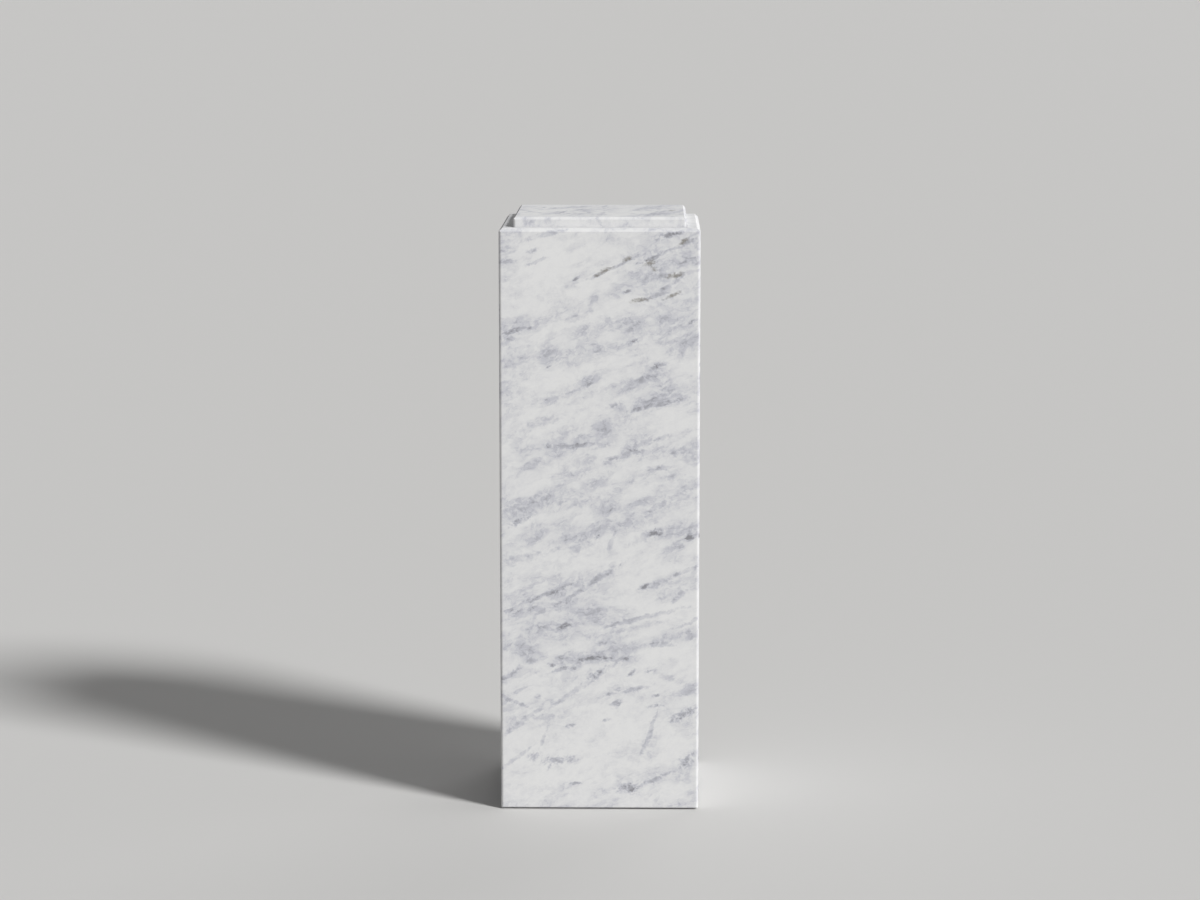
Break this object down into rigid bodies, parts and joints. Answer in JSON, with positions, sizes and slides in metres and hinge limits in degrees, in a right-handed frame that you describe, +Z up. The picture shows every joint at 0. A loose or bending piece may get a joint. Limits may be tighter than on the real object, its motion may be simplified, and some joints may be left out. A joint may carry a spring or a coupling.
{
  "type": "pedestal column stand",
  "caption": "Square white marble display column with mitred sides, a bevelled rim, a raised square top panel and hidden levelling feet.",
  "frame": {"origin": "centre of the column's plan, at the bottom of the feet", "axes": "+Z up, the face towards the camera in the picture looks along -Y, +X to its right"},
  "size_m": [0.3048, 0.3048, 0.9144],
  "materials": {
    "marble": "honed white marble with grey veins",
    "seam_resin": "white epoxy, honed flush",
    "joint_filler": "grey sealant",
    "stone_adhesive": "set stone adhesive",
    "plywood": "raw birch plywood",
    "pine": "planed pine",
    "zinc_steel": "zinc plated",
    "nylon": "moulded black nylon",
    "pad_rubber": "dense rubber"
  },
  "bodies": {
    "column": {"front_slab": "marble", "back_slab": "marble", "left_slab": "marble", "right_slab": "marble", "top_panel": "marble", "mitre_seams": "seam_resin", "top_joint_bead": "joint_filler", "front_adhesive": "stone_adhesive", "back_adhesive": "stone_adhesive", "left_adhesive": "stone_adhesive", "right_adhesive": "stone_adhesive", "top_bedding": "stone_adhesive", "front_liner": "plywood", "back_liner": "plywood", "left_liner": "plywood", "right_liner": "plywood", "top_deck": "plywood", "base_board": "plywood", "lower_brace": "plywood", "upper_brace": "plywood", "front_left_batten": "pine", "front_right_batten": "pine", "back_left_batten": "pine", "back_right_batten": "pine", "liner_screws": "zinc_steel", "brace_screws": "zinc_steel", "deck_screws": "zinc_steel", "base_screws": "zinc_steel", "insert_nuts": "zinc_steel"},
    "foot_front_left": {"foot_pad_front_left": "pad_rubber", "foot_base_front_left": "nylon"},
    "stud_front_left": {"foot_stud_front_left": "zinc_steel"},
    "foot_front_right": {"foot_pad_front_right": "pad_rubber", "foot_base_front_right": "nylon"},
    "stud_front_right": {"foot_stud_front_right": "zinc_steel"},
    "foot_back_left": {"foot_pad_back_left": "pad_rubber", "foot_base_back_left": "nylon"},
    "stud_back_left": {"foot_stud_back_left": "zinc_steel"},
    "foot_back_right": {"foot_pad_back_right": "pad_rubber", "foot_base_back_right": "nylon"},
    "stud_back_right": {"foot_stud_back_right": "zinc_steel"}
  },
  "joints": [
    {"name": "foot_height_front_left", "type": "slide", "parent": "column", "child": "foot_front_left", "axis": [0, 0, -1], "range_m": [0, 0.012]},
    {"name": "stud_turn_front_left", "type": "hinge", "parent": "foot_front_left", "child": "stud_front_left", "pos_m": [-0.0864, -0.0864, 0], "axis": [0, 0, -1], "range_deg": [0, 3456]},
    {"name": "foot_height_front_right", "type": "slide", "parent": "column", "child": "foot_front_right", "axis": [0, 0, -1], "range_m": [0, 0.012]},
    {"name": "stud_turn_front_right", "type": "hinge", "parent": "foot_front_right", "child": "stud_front_right", "pos_m": [0.0864, -0.0864, 0], "axis": [0, 0, -1], "range_deg": [0, 3456]},
    {"name": "foot_height_back_left", "type": "slide", "parent": "column", "child": "foot_back_left", "axis": [0, 0, -1], "range_m": [0, 0.012]},
    {"name": "stud_turn_back_left", "type": "hinge", "parent": "foot_back_left", "child": "stud_back_left", "pos_m": [-0.0864, 0.0864, 0], "axis": [0, 0, -1], "range_deg": [0, 3456]},
    {"name": "foot_height_back_right", "type": "slide", "parent": "column", "child": "foot_back_right", "axis": [0, 0, -1], "range_m": [0, 0.012]},
    {"name": "stud_turn_back_right", "type": "hinge", "parent": "foot_back_right", "child": "stud_back_right", "pos_m": [0.0864, 0.0864, 0], "axis": [0, 0, -1], "range_deg": [0, 3456]}
  ],
  "couplings": [
    {"joint": "foot_height_front_left", "follows": "stud_turn_front_left", "m_per_rad": 0.00019894},
    {"joint": "foot_height_front_right", "follows": "stud_turn_front_right", "m_per_rad": 0.00019894},
    {"joint": "foot_height_back_left", "follows": "stud_turn_back_left", "m_per_rad": 0.00019894},
    {"joint": "foot_height_back_right", "follows": "stud_turn_back_right", "m_per_rad": 0.00019894}
  ]
}
